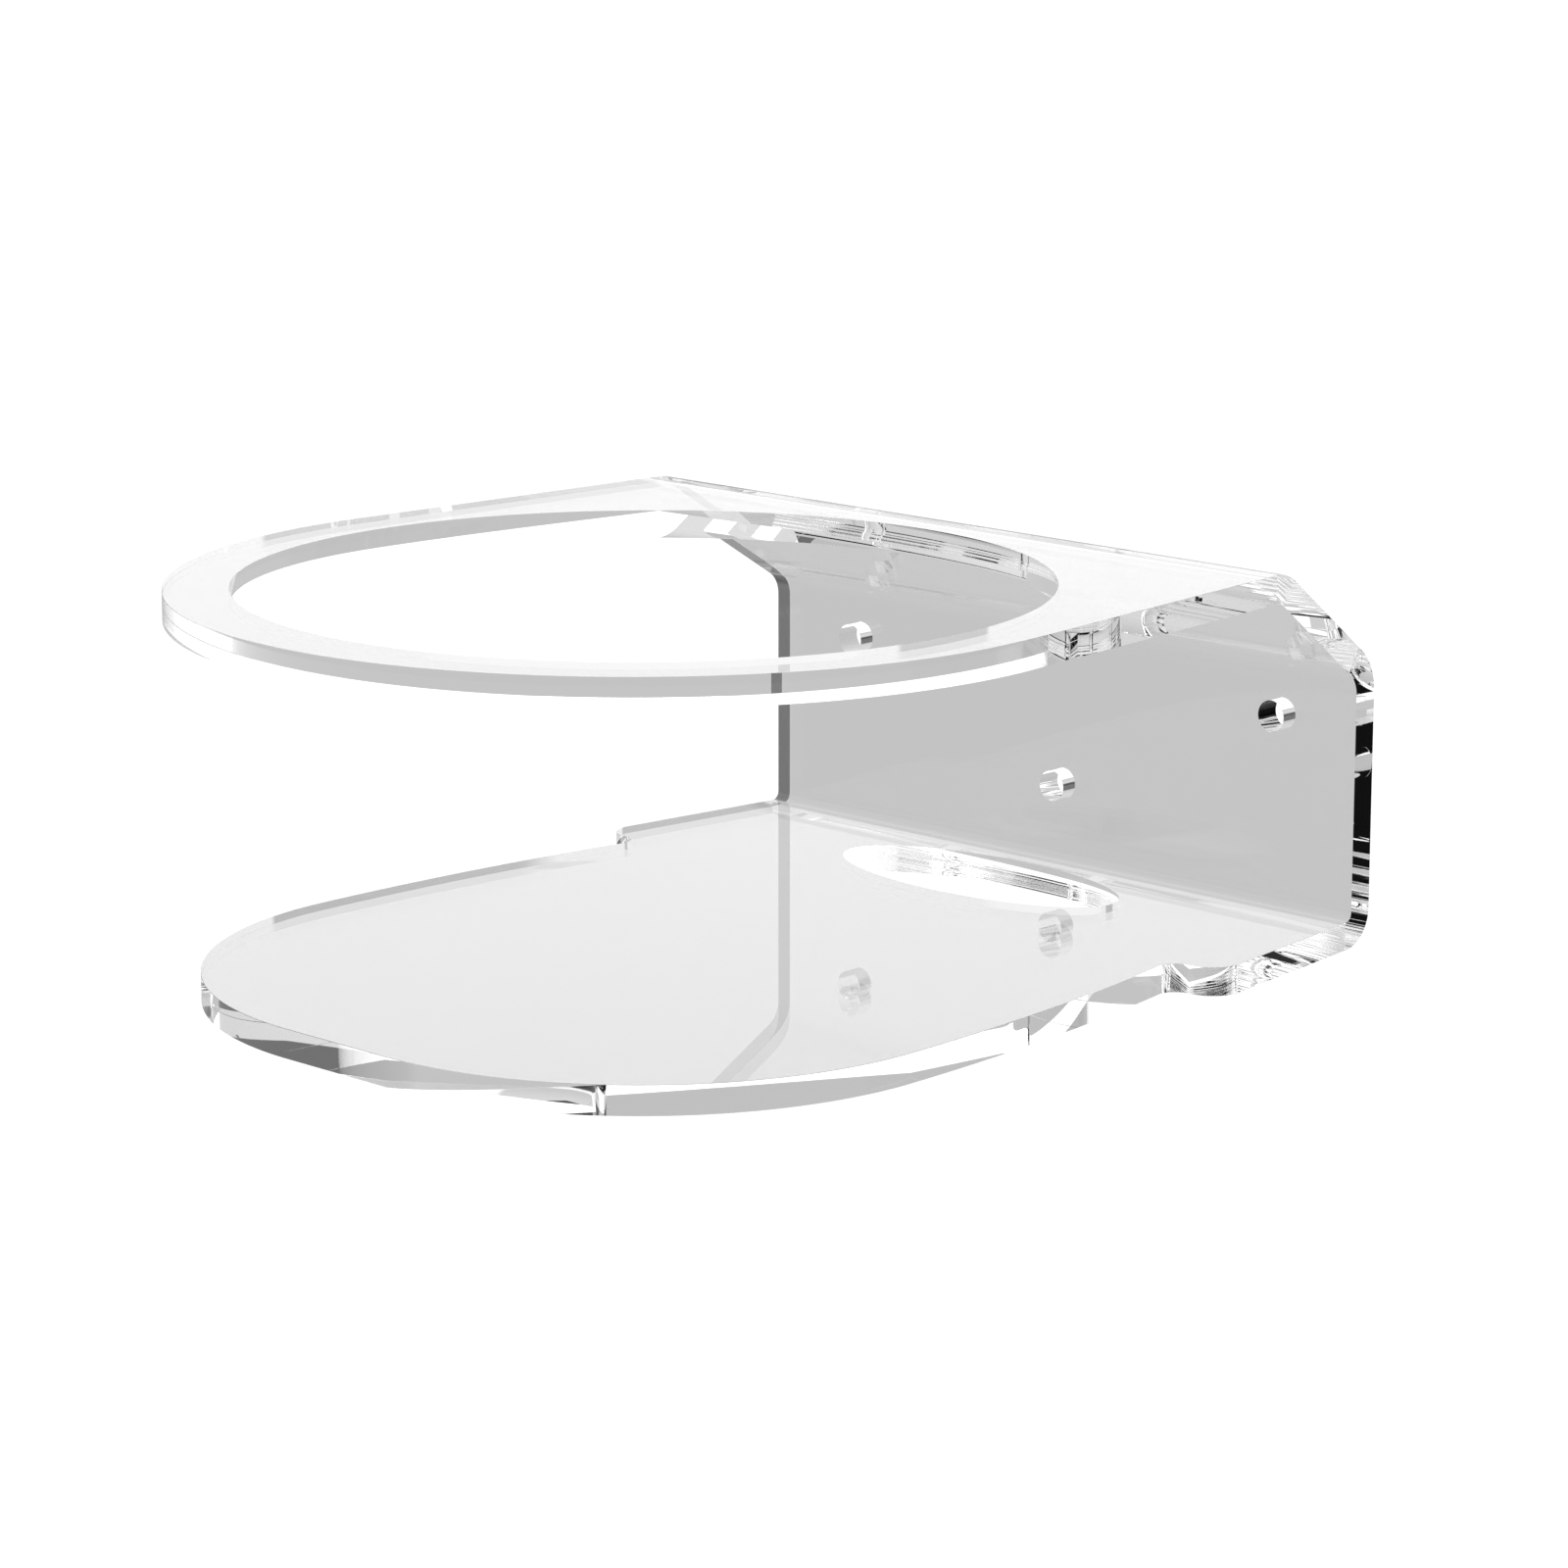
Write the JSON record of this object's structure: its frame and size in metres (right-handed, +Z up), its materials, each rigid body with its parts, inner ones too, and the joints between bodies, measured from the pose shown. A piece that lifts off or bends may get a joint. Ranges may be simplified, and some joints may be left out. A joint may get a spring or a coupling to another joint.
{
  "type": "hair dryer holder",
  "caption": "Clear acrylic wall bracket with an upper ring that carries a hair dryer above a flat lower plate with an oval opening.",
  "frame": {"origin": "on the flat rear face that lies against the wall, on the centre line, at the middle height of the flat stretch, 21 mm above the underside", "axes": "+X along the wall, +Y into the wall (the holder reaches out along -Y), +Z up"},
  "size_m": [0.1266, 0.15, 0.056],
  "materials": {
    "clear_acrylic": "clear cast acrylic sheet, glossy faces and flame-polished edges"
  },
  "bodies": {
    "root": {"acrylic_bracket": "clear_acrylic"}
  },
  "joints": []
}
